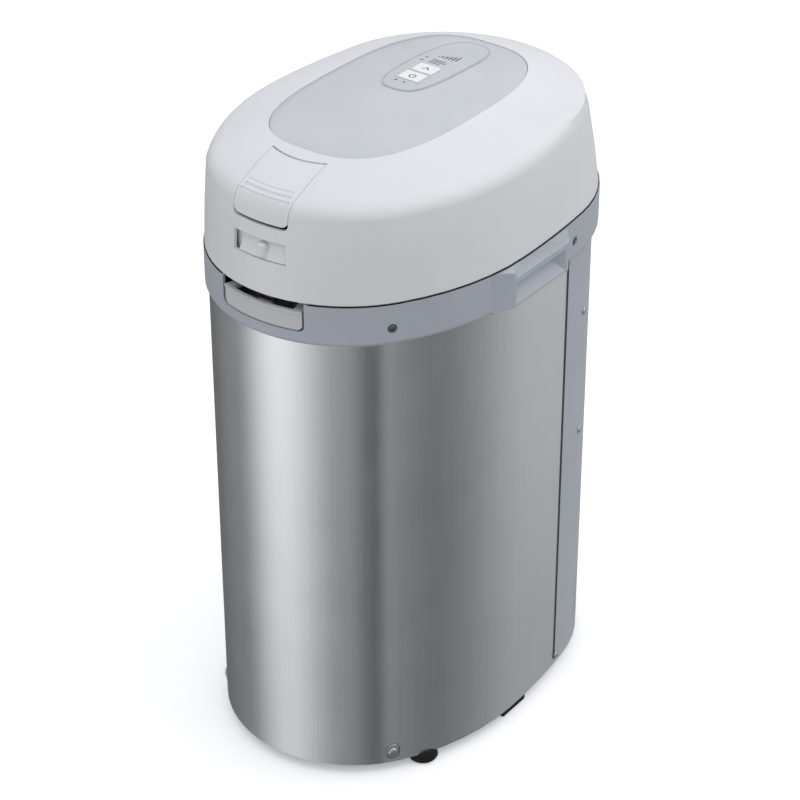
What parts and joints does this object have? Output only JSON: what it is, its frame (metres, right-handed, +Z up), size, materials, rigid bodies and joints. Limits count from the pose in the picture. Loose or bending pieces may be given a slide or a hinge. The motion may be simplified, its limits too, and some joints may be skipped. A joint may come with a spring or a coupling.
{
  "type": "electric food waste composter",
  "caption": "Tall oval food waste composter with a brushed steel front, grey plastic back and ring with side grips, and a hinged white lid over a stirred container.",
  "frame": {"origin": "on the floor under the middle of the outline", "axes": "+Z up, front towards -Y, +X to the right seen from the front"},
  "size_m": [0.268, 0.3652, 0.5507],
  "materials": {
    "cover_grey": "fine satin grain",
    "lid_white": "smooth satin",
    "panel_silver": "silver paint with a soft gloss",
    "sheet_film": "thin printed film, left plain",
    "button_white": "smooth gloss",
    "grip_grey": "satin",
    "steel": "upright brushed grain",
    "inner_steel": "plain sheet",
    "coated": "dark non-stick coating",
    "cast_alloy": "as cast",
    "tray_dark": "satin",
    "frame_dark": "satin",
    "rubber_foot": "matt",
    "seal_rubber": "matt heat-proof",
    "dark_screw": "black oxide",
    "bright_screw": "nickel plated",
    "gear_plastic": "plain moulded",
    "brass_pinion": "cut",
    "ceramic": "porous ceramic",
    "board_green": "solder mask",
    "heater_tube": "heat-tinted",
    "fan_plastic": "satin"
  },
  "bodies": {
    "body": {"base_tray": "tray_dark", "steel_wrap": "steel", "rear_cover": "cover_grey", "body_ring": "cover_grey", "top_deck": "cover_grey", "rear_bulkhead": "inner_steel", "chamber": "inner_steel", "container": "coated", "fixed_blades": "inner_steel", "container_handle": "grip_grey", "gearbox_case": "cast_alloy", "gearbox_cover": "cast_alloy", "stir_motor": "inner_steel", "exhaust_duct": "inner_steel", "catalyst_box": "inner_steel", "catalyst_block": "ceramic", "fan_frame": "frame_dark", "power_board": "board_green", "cord_inlet": "frame_dark", "front_feet": "rubber_foot", "side_feet": "rubber_foot", "rear_feet": "rubber_foot", "ring_screws": "dark_screw", "wrap_screws": "bright_screw", "cover_screws": "bright_screw", "hinge_bracket": "cast_alloy", "hinge_pin": "inner_steel", "latch_catch": "inner_steel"},
    "lid": {"lid_shell": "lid_white", "lid_panel": "panel_silver", "panel_window": "sheet_film", "control_board": "board_green", "lid_base": "cover_grey", "inner_lid": "inner_steel", "lid_seal": "seal_rubber", "fan_bracket": "inner_steel", "fan_motor": "inner_steel", "air_heater": "heater_tube", "tongue_pin": "inner_steel", "tongue_spring": "inner_steel"},
    "release": {"release_tongue": "lid_white", "latch_hook": "inner_steel"},
    "lock": {"lock_slider": "lid_white"},
    "start": {"start_button": "button_white"},
    "mode": {"mode_button": "button_white"},
    "hot_air_fan": {"circulation_fan": "inner_steel"},
    "exhaust_rotor": {"exhaust_fan": "fan_plastic"},
    "stirrer": {"drive_shaft": "inner_steel", "output_gear": "gear_plastic", "stirring_rotor": "coated"},
    "idler": {"idler_gear": "gear_plastic"},
    "pinion": {"motor_pinion": "brass_pinion"}
  },
  "joints": [
    {"name": "lid_hinge", "type": "hinge", "parent": "body", "child": "lid", "pos_m": [0, 0.1714, 0.461], "axis": [-1, 0, 0], "range_deg": [0, 80]},
    {"name": "tongue_press", "type": "hinge", "parent": "lid", "child": "release", "pos_m": [0, -0.128, 0.534], "axis": [1, 0, 0], "range_deg": [0, 2.6], "stiffness_Nm_per_rad": 1, "springref_deg": -5.73},
    {"name": "lock_slide", "type": "hinge", "parent": "lid", "child": "lock", "pos_m": [0, -0.0685, 0.4863], "axis": [0, 0, 1], "range_deg": [-2.5, 0]},
    {"name": "start_press", "type": "slide", "parent": "lid", "child": "start", "axis": [0, 0, -1], "range_m": [0, 0.0006], "stiffness_N_per_m": 400, "springref_m": -0.002},
    {"name": "mode_press", "type": "slide", "parent": "lid", "child": "mode", "axis": [0, 0, -1], "range_m": [0, 0.0006], "stiffness_N_per_m": 400, "springref_m": -0.002},
    {"name": "hot_air_spin", "type": "hinge", "parent": "lid", "child": "hot_air_fan", "pos_m": [0, -0.0685, 0.47], "axis": [0, 0, 1], "continuous": true},
    {"name": "exhaust_spin", "type": "hinge", "parent": "body", "child": "exhaust_rotor", "pos_m": [0, 0.15, 0.15], "axis": [0, 1, 0], "continuous": true},
    {"name": "stirrer_spin", "type": "hinge", "parent": "body", "child": "stirrer", "pos_m": [0, -0.0685, 0.1], "axis": [0, 0, 1], "continuous": true},
    {"name": "idler_spin", "type": "hinge", "parent": "body", "child": "idler", "pos_m": [0, 0.0015, 0.07], "axis": [0, 0, 1], "continuous": true},
    {"name": "pinion_spin", "type": "hinge", "parent": "body", "child": "pinion", "pos_m": [0, 0.061, 0.08], "axis": [0, 0, 1], "continuous": true}
  ],
  "couplings": [
    {"joint": "idler_spin", "follows": "stirrer_spin", "ratio": -3.4444},
    {"joint": "pinion_spin", "follows": "stirrer_spin", "ratio": 10.333}
  ]
}
